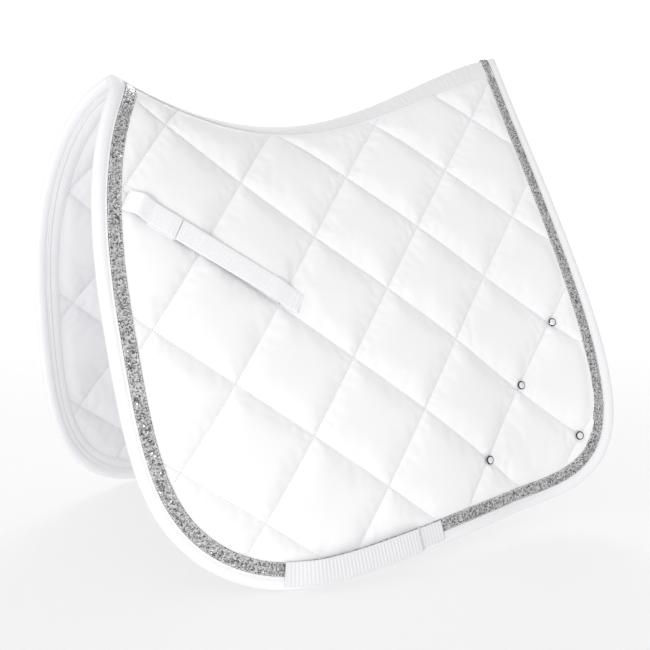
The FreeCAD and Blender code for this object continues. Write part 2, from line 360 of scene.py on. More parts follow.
def solid(name, parts, material, smooth=True):
    """One closed piece from several sets of points and faces."""
    points, faces, first = [], [], 0
    for part_points, part_faces in parts:
        points.append(part_points)
        faces += [tuple(first + k for k in face) for face in part_faces]
        first += len(part_points)
    piece = make_object(name, np.concatenate(points), faces, material, smooth)
    turn_outwards(piece)
    return piece


def ripple(points, size, seed):
    """Smooth noise from about -1 to 1 at each point; size is its scale."""
    shift = Vector((seed * 17.3, seed * 5.1, seed * 9.7))
    return np.array([noise.noise(Vector(point) / size + shift) for point in points])


# ---- materials
class Look:
    """Builds one procedural material node by node."""

    def __init__(self, name):
        self.material = bpy.data.materials.new(name)
        self.material.use_nodes = True
        self.tree = self.material.node_tree
        self.shader = self.tree.nodes["Principled BSDF"]
        self.where = self.tree.nodes.new("ShaderNodeTexCoord").outputs["Object"]

    def node(self, kind, inputs=None, **settings):
        made = self.tree.nodes.new(kind)
        for name, value in settings.items():
            setattr(made, name, value)
        for name, value in (inputs or {}).items():
            if isinstance(value, bpy.types.NodeSocket):
                self.tree.links.new(value, made.inputs[name])
            else:
                made.inputs[name].default_value = value
        return made

    def noise(self, scale, detail=3.0):
        return self.node("ShaderNodeTexNoise", {"Vector": self.where, "Scale": scale,
                                                "Detail": detail}).outputs["Fac"]

    def stripes(self, pitch, direction):
        """Waves of a pitch in millimetres; a wave texture turns 20 radians a unit."""
        scale = 2 * math.pi / (20.0 * pitch * MM)
        made = self.node("ShaderNodeTexWave", {"Vector": self.where, "Scale": scale})
        made.bands_direction = direction
        return made.outputs["Fac"]

    def maths(self, operation, *values):
        return self.node("ShaderNodeMath", dict(enumerate(values)), operation=operation).outputs[0]

    def between(self, factor, low, high):
        """Colours from low to high."""
        ramp = self.node("ShaderNodeValToRGB", {"Fac": factor})
        ramp.color_ramp.elements[0].color = (*low, 1)
        ramp.color_ramp.elements[1].color = (*high, 1)
        return ramp.outputs["Color"]

    def bump(self, height, strength, distance):
        made = self.node("ShaderNodeBump", {"Height": height, "Strength": strength,
                                            "Distance": distance * MM})
        self.drive(Normal=made.outputs["Normal"])

    def drive(self, **sockets):
        for name, socket in sockets.items():
            self.tree.links.new(socket, self.shader.inputs[name.replace("_", " ")])

    def finish(self, **values):
        for name, value in values.items():
            self.shader.inputs[name.replace("_", " ")].default_value = value
        return self.material


def woven(name, light, shade, pitch, depth, roughness, sheen):
    """Woven cloth: fine threads both ways, faint mottling and a soft sheen."""
    look = Look(name)
    weave = look.maths("MULTIPLY", look.stripes(pitch, "X"), look.stripes(pitch, "Z"))
    blotch = look.noise(18.0, 4.0)
    look.drive(Base_Color=look.between(blotch, shade, light),
               Roughness=look.maths("MULTIPLY_ADD", blotch, 0.12, roughness - 0.06))
    look.bump(weave, 0.25, depth)
    return look.finish(Sheen_Weight=sheen, Sheen_Roughness=0.4, Specular_IOR_Level=0.3)


def glitter_look():
    """Silver flakes, each with its own tilt and brightness."""
    flakes_per_metre, most_tilt = 700.0, 0.95
    look = Look("glitter")
    flakes = look.node("ShaderNodeTexVoronoi", {"Vector": look.where, "Scale": flakes_per_metre})
    shade = look.node("ShaderNodeSeparateColor", {"Color": flakes.outputs["Color"]})
    look.drive(Base_Color=look.between(shade.outputs["Red"], (0.07, 0.07, 0.072), (1.0, 1.0, 1.0)))
    normal = look.node("ShaderNodeNewGeometry").outputs["Normal"]
    tilt = look.node("ShaderNodeVectorMath", {0: flakes.outputs["Color"], 1: (2 * most_tilt,) * 3,
                                              2: (-most_tilt,) * 3}, operation="MULTIPLY_ADD")
    facing = look.node("ShaderNodeVectorMath", {0: normal, 1: tilt.outputs[0]}, operation="ADD")
    facet = look.node("ShaderNodeVectorMath", {0: facing.outputs[0]}, operation="NORMALIZE")
    look.drive(Normal=facet.outputs[0])
    return look.finish(Metallic=0.32, Roughness=0.24)


def thread_look(name, colour):
    look = Look(name)
    worn = tuple(c * 0.9 for c in colour)
    look.drive(Base_Color=look.between(look.noise(300.0), worn, colour))
    look.bump(look.stripes(0.4, "DIAGONAL"), 0.3, 0.1)
    return look.finish(Roughness=0.55, Sheen_Weight=0.2)


def polished_metal(name, dark, bright):
    look = Look(name)
    scratches = look.noise(900.0, 2.0)
    look.drive(Base_Color=look.between(scratches, dark, bright))
    return look.finish(Metallic=1.0, Roughness=0.12)


def crystal_glass():
    """Pale crystal with a bright back."""
    look = Look("crystal")
    cloud = look.noise(400.0, 2.0)
    look.drive(Base_Color=look.between(cloud, (0.70, 0.71, 0.73), (1.0, 1.0, 1.0)))
    return look.finish(Metallic=0.4, Roughness=0.08, Coat_Weight=1.0, Coat_Roughness=0.02)


def fuzzy(name, colour):
    look = Look(name)
    tufts = look.noise(1400.0, 5.0)
    look.drive(Base_Color=look.between(tufts, tuple(c * 0.75 for c in colour), colour))
    look.bump(tufts, 0.8, 0.5)
    return look.finish(Roughness=0.95, Sheen_Weight=0.5)


def foam_look():
    look = Look("foam_core")
    pores = look.noise(900.0, 4.0)
    look.drive(Base_Color=look.between(pores, (0.76, 0.75, 0.72), (0.88, 0.87, 0.84)))
    look.bump(pores, 0.5, 0.4)
    return look.finish(Roughness=0.95)


SHELL_CLOTH = woven("shell_cloth", (0.90, 0.90, 0.91), (0.87, 0.87, 0.88), 0.55, 0.05, 0.62, 0.15)
LINING_CLOTH = woven("lining_cloth", (0.82, 0.82, 0.84), (0.78, 0.78, 0.80), 0.8, 0.10, 0.8, 0.2)
BINDING_CLOTH = woven("binding_cloth", (0.87, 0.87, 0.89), (0.84, 0.84, 0.86), 0.5, 0.06, 0.6, 0.2)
TAPE_CLOTH = woven("tape_cloth", (0.84, 0.84, 0.85), (0.80, 0.80, 0.81), 0.5, 0.06, 0.65, 0.2)
WEBBING = woven("webbing_cloth", (0.90, 0.90, 0.915), (0.87, 0.87, 0.885), 0.9, 0.10, 0.6, 0.15)
# darker copy of the white webbing for the girth loop: painted shade, not a different webbing colour
LOOP_WEBBING_PAINTED_SHADE = woven("loop_webbing_painted_shade", (0.79, 0.79, 0.81), (0.75, 0.75, 0.77), 0.9, 0.10, 0.6, 0.15)
GLITTER = glitter_look()
QUILT_THREAD = thread_look("quilt_thread", (0.74, 0.74, 0.77))
SEWING_THREAD = thread_look("sewing_thread", (0.88, 0.88, 0.90))
# the cups are bright chrome; their near-black colour is a painted dark reflection in the rims
CUP_METAL_PAINTED_DARK = polished_metal("cup_metal_painted_dark", (0.03, 0.03, 0.033), (0.08, 0.08, 0.085))
WASHER_METAL = polished_metal("washer_metal", (0.45, 0.45, 0.46), (0.6, 0.6, 0.61))
CRYSTAL = crystal_glass()
HOOKS = fuzzy("hook_and_loop", (0.86, 0.86, 0.87))
FOAM = foam_look()


# ---- quilted panels
def unfolded(grid):
    """Flattened points (x, level) of quilting coordinates; whole numbers are seams."""
    return grid @ np.array([ALONG_BACK, ALONG_DOWN]) + np.array(SEAM_CROSSING)


def looseness(inside, walked):
    """1 where the filling can puff, 0 where a band or the spine tape is sewn over it."""
    return eased(inside, *PRESSED_BY_BAND) * eased(walked, *PRESSED_BY_TAPE)


def within_reach(x, walked):
    """True for places that can lie on the pad."""
    return (walked < REACH_DOWN) & (np.abs(x - PAD_MIDDLE_X) < REACH_ALONG)


def seam_height(inside, walked, depth):
    """Height of a seam over the pad's surface."""
    return BAND_FLAT + (-depth - BAND_FLAT) * looseness(inside, walked)


class Quilt:
    """Mesh lines along the quilting, laid over the near side."""

    def __init__(self):
        low, high = np.array(FIRST_SEAMS), np.array(LAST_SEAMS)
        counts = (high - low) * LINES_PER_CELL + 1
        i, j = (low[k] + np.arange(counts[k]) / LINES_PER_CELL for k in range(2))
        grid = np.stack(np.meshgrid(i, j, indexing="ij"), axis=-1).reshape(-1, 2)
        grid = grid - CROWDING * np.sin(2 * np.pi * grid) / (2 * np.pi)
        x, level = unfolded(grid).T
        walked = spine_height(x) - level
        kept = np.flatnonzero((walked > -PAST_MIDDLE) & within_reach(x, walked))
        number = np.full(len(grid), -1)
        number[kept] = np.arange(len(kept))
        grid, x, walked = grid[kept], x[kept], walked[kept]
        drop = walk_down(x, np.maximum(walked, 0.0))
        point, normal = surface(x, drop), outward(x, drop)
        downhill = unit(surface(x, drop + 0.5) - point)
        point = point + downhill * np.minimum(walked, 0.0)[:, None]
        inside = EDGE.distance(point)
        whole = number.reshape(counts)
        corners = (whole[:-1, :-1], whole[1:, :-1], whole[1:, 1:], whole[:-1, 1:])
        quads = np.stack(corners, axis=-1).reshape(-1, 4)
        quads = quads[(quads >= 0).all(axis=1)]
        quads = quads[(inside > CLOTH_INSET)[quads].all(axis=1)]
        used = np.unique(quads)
        self.faces = np.searchsorted(used, quads)
        self.grid, self.point, self.normal = grid[used], point[used], normal[used]
        self.walked, self.inside = walked[used], inside[used]
        sides = self.point[self.faces]
        cross = np.cross(sides[:, 2] - sides[:, 0], sides[:, 3] - sides[:, 1])
        self.area = np.linalg.norm(cross, axis=1).sum() / 2
        self.flat = (np.ptp(self.point[:, 0]), np.ptp(self.walked))
        self.loose = looseness(self.inside, self.walked)
        away = np.abs(self.grid - np.round(self.grid))
        self.on_seam = (away < 1e-6).any(axis=1)
        rise = np.minimum(away * CELL / SHOULDER, 1.0)
        rise = np.sqrt(1 - (1 - rise) ** 2)
        crown = np.sin(np.pi * self.grid).prod(axis=1)
        self.pillow = rise.prod(axis=1) * (1 - CROWN + CROWN * np.abs(crown))

    def puckers(self, seed):
        """Short wrinkles that the thread draws across each seam."""
        away = np.abs(self.grid - np.round(self.grid)) * CELL / PUCKER_REACH
        total = np.zeros(len(self.grid))
        drift, size = PUCKER_DRIFT
        for k in range(2):
            place = self.grid[:, 1 - k] * CELL / PUCKER_PITCH
            wave = np.sin(2 * np.pi * (place + drift * ripple(self.point, size, seed + k)))
            total += wave * away[:, k] * np.exp(1 - away[:, k])
        return total


def inflate(piece, pinned, pressure):
    """Blows the cloth up between its pinned points, and limits how far it moves."""
    start = coordinates(piece.data)
    group = piece.vertex_groups.new(name="sewn")
    group.add([int(k) for k in np.flatnonzero(pinned)], 1.0, 'REPLACE')
    cloth = piece.modifiers.new("cloth", 'CLOTH')
    settings = cloth.settings
    settings.vertex_group_mass = "sewn"
    settings.quality = 4
    settings.mass = 0.2
    settings.tension_stiffness = 12
    settings.compression_stiffness = 12
    settings.shear_stiffness = 4
    settings.bending_stiffness = 0.1
    settings.shrink_min = -CLOTH_SLACK
    settings.use_pressure = True
    settings.uniform_pressure_force = pressure
    settings.effector_weights.gravity = 0
    cloth.collision_settings.use_collision = False
    cloth.point_cache.frame_end = CLOTH_FRAMES
    scene = bpy.context.scene
    for number in range(1, CLOTH_FRAMES + 1):
        scene.frame_set(number)
    shown = piece.evaluated_get(bpy.context.evaluated_depsgraph_get())
    step = coordinates(shown.data) - start
    piece.modifiers.clear()
    piece.vertex_groups.clear()
    scene.frame_set(1)
    size = np.linalg.norm(step, axis=1, keepdims=True)
    limit = CLOTH_CAP * MM
    step *= limit * np.tanh(size / limit) / np.maximum(size, 1e-9)
    set_coordinates(piece.data, start + step)


def crease_seams(piece, on_seam):
    """Keeps the seams sharp when the piece is rounded."""
    ends = np.empty(len(piece.data.edges) * 2, int)
    piece.data.edges.foreach_get("vertices", ends)
    sharp = on_seam[ends.reshape(-1, 2)].all(axis=1).astype(float)
    piece.data.attributes.new("crease_edge", 'FLOAT', 'EDGE').data.foreach_set("value", sharp)


def quilted_panel(name, quilt, material, facing, height, pressure):
    """One quilted cloth, and its points before rounding; facing is 1 outside and -1 for the lining."""
    depth = 0.0 if facing > 0 else PAD_THICKNESS
    place = quilt.point + quilt.normal * (facing * height - depth)[:, None]
    piece = make_object(name, place, quilt.faces[:, ::facing], material)
    inflate(piece, quilt.on_seam | (quilt.loose < PINNED_BELOW), pressure)
    crease_seams(piece, quilt.on_seam)
    body = coordinates(piece.data) / MM
    subdivide(piece)
    trim_at_middle(piece, fill=False)
    return piece, body


def strap_distance(points):
    """Distance of points from the billet strap's middle line, seen from the side."""
    run = (np.array(STRAP_END) - np.array(STRAP_START)) / STRAP_LENGTH
    offset = points[:, [0, 2]] - np.array(STRAP_START)
    place = offset @ run
    aside = offset[:, 1] * run[0] - offset[:, 0] * run[1]
    return np.hypot(aside, np.maximum(0, np.maximum(-place, place - STRAP_LENGTH)))


def cloth_height(quilt, depth, puff, swells, wrinkles):
    """Height of a cloth over the pad's surface, before inflation."""
    height = -depth + (puff + depth) * quilt.pillow
    for most, size, seed in swells:
        height = height + most * ripple(quilt.point, size, seed)
    height = np.where(quilt.on_seam, -depth, height + wrinkles)
    return BAND_FLAT + (height - BAND_FLAT) * quilt.loose


def shell_height(quilt):
    pressed = 1 - eased(strap_distance(quilt.point), WEBBING_WIDTH * 0.45, WEBBING_WIDTH)
    wrinkles = PUCKER_HEIGHT * quilt.puckers(5)
    return cloth_height(quilt, SEAM_DEPTH, PUFF - STRAP_PRESS * pressed, SWELLS, wrinkles)


def lining_height(quilt):
    wrinkles = LINING_PUCKER_HEIGHT * quilt.puckers(15)
    return cloth_height(quilt, LINING_DEPTH, LINING_PUFF, LINING_SWELLS, wrinkles)


def foam_core(quilt, shell, lining):
    """The filling, closed between the two cloths and a little inside them."""
    outer = shell - quilt.normal * FOAM_GAP
    inner = lining + quilt.normal * FOAM_GAP
    count = len(quilt.point)
    faces = quilt.faces
    sides = np.concatenate([faces[:, [k, (k + 1) % 4]] for k in range(4)])
    first, uses = np.unique(np.sort(sides, axis=1), axis=0, return_index=True, return_counts=True)[1:]
    rim = sides[first[uses == 1]]
    walls = np.stack([rim[:, 1], rim[:, 0], rim[:, 0] + count, rim[:, 1] + count], axis=1)
    everything = np.concatenate([faces, faces[:, ::-1] + count, walls])
    piece = make_object("foam", np.concatenate([outer, inner]), everything, FOAM)
    turn_outwards(piece)
    trim_at_middle(piece, fill=True)
    return piece


# ---- bands round the edge
def band(name, profile, wrinkle, seed, material, ragged=0.0):
    """Closed band along the edge; profile lists (inset, height over the surface)."""
    wave_size, small_wave_size, ragged_size = 9.0, 4.0, 2.6
    rows = np.empty((len(EDGE.point), len(profile), 3))
    for k, (inset, lift) in enumerate(profile):
        over = EDGE.point + EDGE.inward * inset
        waves = ripple(over * 0.7, wave_size, seed) + 0.5 * ripple(over, small_wave_size, seed + 2)
        side = k > len(profile) // 2
        aside = inset + ragged * ripple(EDGE.point, ragged_size, seed + 3 + side)
        rows[:, k] = EDGE.point + EDGE.inward * aside[:, None] if ragged else over
        rows[:, k] += EDGE.normal * (lift + wrinkle * waves)[:, None]
    piece = solid(name, [sweep(rows)], material)
    trim_at_middle(piece, fill=True)
    return piece


def binding_profile():
    """Folded tape: over the rim and down the inside, with its own thickness and a sewn groove."""
    end = BINDING_WIDTH
    outer = [(end, -0.1), (end - 0.4, 0.45), (end - 1.4, 0.4), (end - 2.2, -0.05), (end - 3.2, 0.75),
             (8.0, 1.3), (4.6, 1.1), (2.0, 0.1), (0.5, -1.7), (-0.2, -PAD_THICKNESS / 2)]
    under = [(inset, -PAD_THICKNESS - lift) for inset, lift in outer[-2::-1]]
    top = -0.25
    bottom = -PAD_THICKNESS - top
    inner = [(end, bottom), (end - 2.6, bottom + 0.1), (8.0, bottom - 0.4), (4.0, bottom + 0.4),
             (1.6, bottom + 2.2), (0.7, (top + bottom) / 2), (1.6, top - 2.2),
             (4.0, top - 0.4), (8.0, top + 0.4), (end, top)]
    return outer + under + inner


def glitter_profile():
    start, end = BINDING_WIDTH + 0.1, BAND_END
    middle = (start + end) / 2
    return [(start, 0.0), (start + 0.4, 0.35), (start + 1.6, 0.3), (middle, 0.62), (end - 1.6, 0.3),
            (end - 0.4, 0.35), (end, 0.0), (end - 0.5, -0.3), (middle, -0.35), (start + 0.5, -0.3)]


def facing_profile():
    """Flat strip inside, under the stitches of the glitter band."""
    start, end = BINDING_WIDTH - 1.0, BAND_END + 1.5
    base = -PAD_THICKNESS
    return [(start, base + 0.2), (start, base - 0.2), (start + 2.2, base - 0.35),
            (start + 3.0, base - 1.1), (start + 3.8, base - 0.35), (start + 5.2, base - 0.3),
            (start + 6.4, base - 0.95), (end - 2.6, base - 1.0), (end - 1.6, base - 0.45),
            (end - 0.6, base - 0.75), (end, base - 0.3), (end, base + 0.2)]


# ---- stitches
STITCH_SHAPE = ((0.0, 0.35, -0.9), (0.18, 0.95, 0.3), (0.5, 1.1, 0.7), (0.82, 0.95, 0.3),
                (1.0, 0.35, -0.9))  # place along the stitch, thickness and lift in radii


def stitches(name, lines, stitch, material):
    """Rounded stitches along lines of (points, normals), as one piece."""
    length, gap, radius = stitch
    sides = 6
    share, size, lift = np.array(STITCH_SHAPE).T
    turns = 2 * np.pi * np.arange(sides) / sides
    parts = []
    for path, normals in lines:
        walked = walked_along(path)
        for start in np.arange(gap / 2, walked[-1] - length, length + gap):
            at = start + length * share
            centre = np.stack([np.interp(at, walked, path[:, k]) for k in range(3)], axis=-1)
            up = unit(np.stack([np.interp(at, walked, normals[:, k]) for k in range(3)], axis=-1))
            side = unit(np.cross(up, centre[-1] - centre[0]))
            centre = centre + up * (lift * radius)[:, None]
            ring = side[:, None] * np.cos(turns)[:, None] + up[:, None] * np.sin(turns)[:, None]
            parts.append(sweep(centre[:, None] + ring * (size * radius)[:, None, None]))
    return solid(name, parts, material)


def runs_of(kept):
    """Slices of consecutive true values."""
    changes = np.flatnonzero(np.diff(np.concatenate([[0], kept.astype(int), [0]])))
    return [slice(a, b) for a, b in zip(changes[::2], changes[1::2]) if b - a > 3]


def seam_lines(depth, facing):
    """The near side's quilting seams, as lines with normals."""
    lines = []
    for axis in range(2):
        share = np.linspace(FIRST_SEAMS[1 - axis], LAST_SEAMS[1 - axis], 900)
        for number in range(FIRST_SEAMS[axis], LAST_SEAMS[axis] + 1):
            grid = np.empty((len(share), 2))
            grid[:, axis] = number
            grid[:, 1 - axis] = share
            x, level = unfolded(grid).T
            walked = spine_height(x) - level
            near = (walked > SEAM_START) & within_reach(x, walked)
            if near.sum() < 5:
                continue
            x, walked = x[near], walked[near]
            drop = walk_down(x, walked)
            point, normal = surface(x, drop), outward(x, drop)
            inside = EDGE.distance(point)
            height = facing * (seam_height(inside, walked, depth) + 0.2)
            if facing < 0:
                height = height - PAD_THICKNESS
            path = point + normal * height[:, None]
            for part in runs_of(inside > BAND_END + 1.0):
                lines.append((path[part], facing * normal[part]))
    return lines


# ---- spine tapes
class SpineTape:
    """Lines along the pad at set distances across it, for the tapes over the spine seam."""

    def __init__(self, half, depth, ends):
        self.x = np.arange(*ends, 1.2)
        self.half, self.depth = half, depth
        self.levels = np.linspace(0.0, 60.0, 241)
        xs, drops = np.meshgrid(self.x, self.levels, indexing="ij")
        self.across = -(surface(xs, drops) - outward(xs, drops) * depth)[..., 1]

    def line(self, place):
        """Points and normals at a place from -1, near edge, to 1, far edge."""
        wanted = abs(place) * self.half
        drop = np.array([np.interp(wanted, row, self.levels) for row in self.across])
        normal = outward(self.x, drop)
        point = surface(self.x, drop) - normal * self.depth
        point[:, 1] = -wanted
        aside = float(eased(wanted, 0.0, 4.0))
        normal = unit(normal * np.array([1.0, aside, 1.0]))
        if place > 0:
            point[:, 1] *= -1
            normal[:, 1] *= -1
        return point, normal


def spine_tape(name, tape, pleat, seed):
    """Gathered tape over the spine seam, outside or inside, and the stitches along its edges."""
    facing = -1 if tape.depth else 1
    places = np.concatenate([[-1.0, -0.97, -0.9], np.linspace(-0.8, 0.8, 21), [0.9, 0.97, 1.0]])
    rows = np.empty((len(tape.x), 2 * len(places), 3))
    gathered = eased(tape.x, -40.0, 60.0)
    for k, place in enumerate(places):
        point, normal = tape.line(place)
        along = point * np.array([1.0, 0.0, 0.0])
        slant = tape.x + 3.0 * abs(place) + 9.0 * ripple(along, 26.0, seed)
        folds = np.abs(np.sin(np.pi * slant / PLEAT_PITCH)) ** 0.6
        folds = folds * (0.75 + 0.5 * ripple(along, 40.0, seed + 3))
        folds = folds + 0.6 * ripple(along + [0.0, 7.0 * place, 0.0], 4.5, seed + 1)
        edge = 1 - abs(place) ** 8
        top = 0.25 + 0.8 * edge + pleat * (folds - 0.8) * edge * (0.35 + 0.65 * gathered)
        under = 0 * top - 0.25
        for row, height in ((k, top), (2 * len(places) - 1 - k, under)):
            rows[:, row] = point + normal * (facing * height)[:, None]
    threads = []
    for place in (-0.9, 0.9):
        point, normal = tape.line(place)
        threads.append((point + normal * facing * 0.75, facing * normal))
    return (solid(name, [sweep(rows)], TAPE_CLOTH),
            stitches(name + "_thread", threads, WEBBING_STITCH, SEWING_THREAD))


# ---- webbing
WEBBING_PROFILE = ((-0.5, 0.5), (-0.485, 0.9), (-0.46, 1.0), (-0.25, 1.0), (0.0, 1.0), (0.25, 1.0),
                   (0.46, 1.0), (0.485, 0.9), (0.5, 0.5), (0.485, 0.1), (0.46, 0.0), (0.0, 0.0),
                   (-0.46, 0.0), (-0.485, 0.1))  # place across and through the band


def ribbon(frames, lift, width, thickness, rib, ribbed):
    """Points and faces of a band along frames of (points, normals, sideways); ribbed is 0 to 1."""
    centre, normal, sideways = frames
    pitch, depth = rib
    wave = depth * ribbed * np.sin(2 * np.pi * walked_along(centre) / pitch)
    rows = np.empty((len(centre), len(WEBBING_PROFILE), 3))
    for k, (place, level) in enumerate(WEBBING_PROFILE):
        facing = {1.0: 1, 0.0: -1}.get(level, 0)
        height = lift + level * thickness + facing * wave
        rows[:, k] = centre + sideways * (place * width) + normal * height[:, None]
    return sweep(rows)


def girth_frames(step):
    fine = edge_points(np.linspace(0.3, 0.85, 3000))
    x = np.arange(GIRTH_LOOP_X[0], GIRTH_LOOP_X[1], step)
    z = np.interp(x, fine[:, 0], fine[:, 1])
    drop = spine_height(x) - z
    point, normal = surface(x, drop), outward(x, drop)
    inward = unit(np.cross(unit(np.gradient(point, axis=0)), normal))
    inward = inward * np.sign(inward[:, 2:])
    centre = point + inward * GIRTH_LOOP_INSET
    drop = spine_height(centre[:, 0]) - centre[:, 2]
    return surface(centre[:, 0], drop), normal, inward


def girth_parts():
    """The raised loop, which tucks under itself at its rear end, and its sewn tail."""
    frames = girth_frames(0.5)
    uneven = 1 + 0.12 * ripple(frames[0], 30.0, 31)
    parts = []
    for start, end, lift, width in ((GIRTH_LOOP_X[0], GIRTH_TUCK_X, LOOP_LIFT, WEBBING_WIDTH),
                                    (GIRTH_TUCK_X - 3, GIRTH_LOOP_X[1], SEWN_LIFT, TAIL_WIDTH)):
        x = frames[0][:, 0]
        kept = (x >= start) & (x <= end)
        raised = uneven * plateau(x, start, end, rise=(8, 44), fall=(7, -1))
        height = SEWN_LIFT + (lift - SEWN_LIFT) * raised
        ribbed = plateau(x, start, end, rise=(3, 9), fall=(6, 1))
        parts.append(ribbon(tuple(part[kept] for part in frames), height[kept], width,
                            WEBBING_THICKNESS, GIRTH_RIB, ribbed[kept]))
    return parts


def strap_frames(places):
    run = (np.array(STRAP_END) - np.array(STRAP_START)) / STRAP_LENGTH
    x = STRAP_START[0] + run[0] * places
    drop = spine_height(x) - (STRAP_START[1] + run[1] * places)
    point, normal = surface(x, drop), outward(x, drop)
    return point, normal, unit(np.cross(normal, unit(np.gradient(point, axis=0))))


def strap_lift(place):
    """The strap rises to the tab's level beside the tab's end, and is sewn down at its far end."""
    raised = plateau(place, TAB_LENGTH, STRAP_LENGTH, rise=(-0.5, 2.5), fall=(34, 8))
    return SEWN_LIFT + (TAB_REST - SEWN_LIFT) * raised


def tab_lift(place):
    climb = SEWN_LIFT + (TAB_REST - SEWN_LIFT) * eased(place, 2, 14)
    hump = (TAB_HUMP - TAB_REST) * np.sin(np.pi * np.minimum(1.0, place / STRAP_TIP)) ** 2
    return climb + hump


STRAP_BAND = (WEBBING_WIDTH, WEBBING_THICKNESS, STRAP_RIB)
PATCH_BAND = (PATCH_WIDTH, PATCH_THICKNESS, PATCH_RIB)


def strap_piece(name, start, end, lift_at, band_kind, material):
    """A band along the strap's line; lift_at gives its height at a place."""
    places = np.linspace(start, end, int((end - start) / 0.45))
    shape = ribbon(strap_frames(places), lift_at(places), *band_kind, eased(places, 9, 20))
    return solid(name, [shape], material)


def strap_bar(place, lift):
    """A stitch line straight across the strap."""
    frames = strap_frames(np.array([place - 0.5, place, place + 0.5]))
    point, normal, sideways = (part[1] for part in frames)
    across = np.linspace(-0.46, 0.46, 12)[:, None] * WEBBING_WIDTH
    return point + sideways * across + normal * lift, np.tile(normal, (12, 1))


# ---- crystals
# rings of (radius, height), and for the stone also the ring's twist, in facets
STONE = ((CRYSTAL_RADIUS, 0.6, 0), (CRYSTAL_RADIUS, 1.3, 0), (3.7, 2.3, 0.5), (2.4, 3.0, 0))
CUP = ((3.0, 0.0), (SETTING_RADIUS - 0.3, 0.0), (SETTING_RADIUS, 0.5), (SETTING_RADIUS - 0.1, 1.4),
       (SETTING_RADIUS - 0.5, 1.9), (CRYSTAL_RADIUS - 0.1, 1.75), (CRYSTAL_RADIUS - 0.2, 1.2),
       (CRYSTAL_RADIUS - 0.4, 0.5), (3.0, 0.4))
WASHER = ((1.4, 0.3), (4.2, 0.1), (4.5, -0.3), (4.2, -0.8), (2.6, -1.1), (1.2, -1.15))


def turned(origin, axis, rings, sides):
    """Points and faces of a shape turned about an axis."""
    side = unit(np.cross(axis, np.array([0.0, 0.0, 1.0])))
    other = np.cross(axis, side)
    rows = []
    for radius, height, *twist in rings:
        angles = 2 * np.pi * (np.arange(sides) + sum(twist)) / sides
        round_it = np.cos(angles)[:, None] * side + np.sin(angles)[:, None] * other
        rows.append(origin + axis * height + radius * round_it)
    return sweep(np.array(rows))


def triangles(part):
    """Splits a shape's quads, so that its facets are flat."""
    points, faces = part
    split = []
    for face in faces:
        split += [(face[0], face[1], face[2]), (face[0], face[2], face[3])] if len(face) == 4 else [face]
    return points, split


# ---- putting the pad together
def bend_with_flap(piece):
    """Bakes the piece's transform into its mesh."""
    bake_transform(piece)


def mirrored(piece):
    twin = piece.copy()
    twin.data = piece.data.copy()
    points = coordinates(twin.data)
    points[:, 1] *= -1
    set_coordinates(twin.data, points)
    twin.data.flip_normals()
    bpy.context.scene.collection.objects.link(twin)
    return twin


def both_sides(piece, base, place, nodes):
    """Names the near piece, mirrors it, attaches both to their bodies or bakes their transform, and
    hides their CAD nodes.
    """
    pair = {"near": piece, "far": mirrored(piece)}
    for side, item in pair.items():
        item.name = side + "_" + base
        item.data.name = item.name
        if place == "bend":
            bend_with_flap(item)
        else:
            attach(item, side + "_" + place)
        if nodes:
            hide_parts(*[side + "_" + node for node in nodes])
    return pair


def make_panels():
    """Both cloths and the filling, and the flat size (width, length) and area of each cloth."""
    quilt = Quilt()
    shell, shell_body = quilted_panel("shell", quilt, SHELL_CLOTH, 1, shell_height(quilt),
                                      SHELL_PRESSURE)
    lining, lining_body = quilted_panel("lining", quilt, LINING_CLOTH, -1, lining_height(quilt),
                                        LINING_PRESSURE)
    foam = foam_core(quilt, shell_body, lining_body)
    foams = both_sides(foam, "foam_core", "bend", ("foam_top", "foam_flap"))
    shells = both_sides(shell, "shell", "bend", ("shell_top", "shell_flap"))
    linings = both_sides(lining, "lining", "bend", ("lining_top", "lining_flap"))
    flat = tuple(float(size * MM) for size in quilt.flat)
    return shells, linings, foams, flat, float(quilt.area * MM ** 2)


def make_bands():
    binding = band("binding", binding_profile(), 0.2, 1, BINDING_CLOTH)
    bindings = both_sides(binding, "binding", "bend", ("binding_flap",))
    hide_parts("binding_front_top", "binding_rear_top")
    strip = band("glitter", glitter_profile(), 0.14, 5, GLITTER, ragged=0.35)
    strips = both_sides(strip, "glitter_band", "bend", ("glitter_flap",))
    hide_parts("glitter_front_top", "glitter_rear_top")
    facing = band("facing", facing_profile(), 0.12, 9, LINING_CLOTH)
    facings = both_sides(facing, "inner_facing", "bend", ())
    return bindings, strips, facings


def make_stitches():
    quilting = stitches("quilting", seam_lines(SEAM_DEPTH, 1), QUILT_STITCH, QUILT_THREAD)
    inside = stitches("inside", seam_lines(LINING_DEPTH, -1), QUILT_STITCH, QUILT_THREAD)
    under = -PAD_THICKNESS
    # inset and height of each round of stitches
    rounds = [EDGE.line(BINDING_WIDTH - 1.1, 0.3), EDGE.line(BINDING_WIDTH + 1.0, 0.42),
              EDGE.line(BAND_END - 1.0, 0.42), EDGE.line(BINDING_WIDTH - 1.1, under - 0.3, -1),
              EDGE.line(BAND_END - 1.0, under - 0.8, -1)]
    edge = stitches("edging", rounds, EDGE_STITCH, SEWING_THREAD)
    return (both_sides(quilting, "quilting_stitches", "bend", ()),
            both_sides(inside, "lining_stitches", "bend", ()),
            both_sides(edge, "edge_stitches", "bend", ()))


def make_pad():
    """The quilted pad with its edge: cloths over a filling."""
    shells, linings, foams, flat, area = make_panels()
    bindings, strips, facings = make_bands()
    quilting, inside, edge = make_stitches()


def make_tapes():
    outer = SpineTape(SPINE_TAPE_HALF, 0.0, OUTER_TAPE_ENDS)
    inner = SpineTape(INNER_TAPE_HALF, PAD_THICKNESS, INNER_TAPE_ENDS)
    for name, tape, pleat, seed in (("spine_tape_outer", outer, 0.65, 21),
                                    ("spine_tape_inner", inner, 0.3, 22)):
        cloth, thread = spine_tape(name + "_cloth", tape, pleat, seed)
        thread.name = name + "_stitches"
        for piece in (cloth, thread):
            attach(piece, "saddle_area")
        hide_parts(name)


